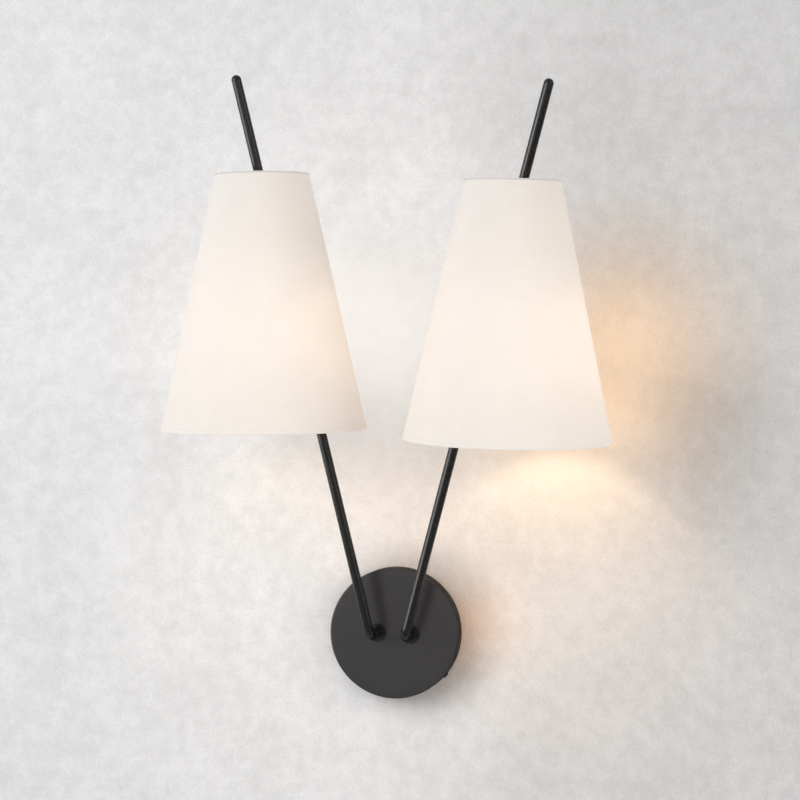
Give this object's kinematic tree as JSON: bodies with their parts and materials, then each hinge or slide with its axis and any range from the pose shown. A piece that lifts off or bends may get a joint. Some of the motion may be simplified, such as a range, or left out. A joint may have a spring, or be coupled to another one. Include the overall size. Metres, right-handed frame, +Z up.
{
  "type": "double arm wall sconce",
  "caption": "Wall light with two bent rods rising in a V from a round canopy, each carrying a tapered linen shade on a lampholder that leans and a shade that turns.",
  "frame": {"origin": "centre of the round canopy on the wall, where the junction box screws are centred", "axes": "+Z up the wall, +X to the viewer's right, +Y into the wall"},
  "size_m": [0.4306, 0.2283, 0.6028],
  "materials": {
    "black_metal": "satin black powder coat",
    "zinc_steel": "zinc plated",
    "green_screw": "green plated earth screw",
    "black_plastic": "moulded, matt",
    "brass": "plain",
    "opal_glass": "opal, lit warm white",
    "white_wire": "white coated wire",
    "linen": "plain woven linen on a stiff white liner"
  },
  "bodies": {
    "wall_body": {"canopy": "black_metal", "mounting_plate": "zinc_steel", "ground_screw": "green_screw", "side_screws": "black_metal", "lock_washers": "zinc_steel", "arm_nuts": "zinc_steel", "lead_bushes": "black_plastic", "clamp_screws": "black_metal", "pivot_screws": "black_metal", "pivot_washers": "zinc_steel", "arm_left": "black_metal", "arm_right": "black_metal", "rod_tip_left": "black_metal", "rod_tip_right": "black_metal", "collar_left": "black_metal", "collar_right": "black_metal", "rod_clamp_left": "black_metal", "rod_clamp_right": "black_metal"},
    "lamp_left": {"swivel_bracket_left": "black_metal", "holder_nipple_left": "zinc_steel", "lampholder_left": "black_plastic", "screw_shell_left": "brass", "centre_contact_left": "brass", "bulb_base_left": "brass", "bulb_glass_left": "opal_glass", "shade_nut_left": "black_plastic"},
    "shade_left": {"shade_spider_left": "white_wire", "shade_bottom_ring_left": "white_wire", "shade_cover_left": "linen"},
    "lamp_right": {"swivel_bracket_right": "black_metal", "holder_nipple_right": "zinc_steel", "lampholder_right": "black_plastic", "screw_shell_right": "brass", "centre_contact_right": "brass", "bulb_base_right": "brass", "bulb_glass_right": "opal_glass", "shade_nut_right": "black_plastic"},
    "shade_right": {"shade_spider_right": "white_wire", "shade_bottom_ring_right": "white_wire", "shade_cover_right": "linen"}
  },
  "joints": [
    {"name": "left_lamp_lean", "type": "hinge", "parent": "wall_body", "child": "lamp_left", "pos_m": [-0.1204, -0.11732, 0.41473], "axis": [0.0011, -0.9997, -0.0262], "range_deg": [-6, 4.5]},
    {"name": "left_shade_turn", "type": "hinge", "parent": "lamp_left", "child": "shade_left", "pos_m": [-0.11934, -0.13463, 0.38823], "axis": [-0.0401, -0.0262, 0.9989], "range_deg": [-20, 20]},
    {"name": "right_lamp_lean", "type": "hinge", "parent": "wall_body", "child": "lamp_right", "pos_m": [0.1204, -0.11732, 0.41473], "axis": [0.0003, -0.9983, -0.0576], "range_deg": [-4.5, 6]},
    {"name": "right_shade_turn", "type": "hinge", "parent": "lamp_right", "child": "shade_right", "pos_m": [0.12054, -0.13379, 0.38768], "axis": [-0.0052, -0.0576, 0.9983], "range_deg": [-20, 20]}
  ]
}
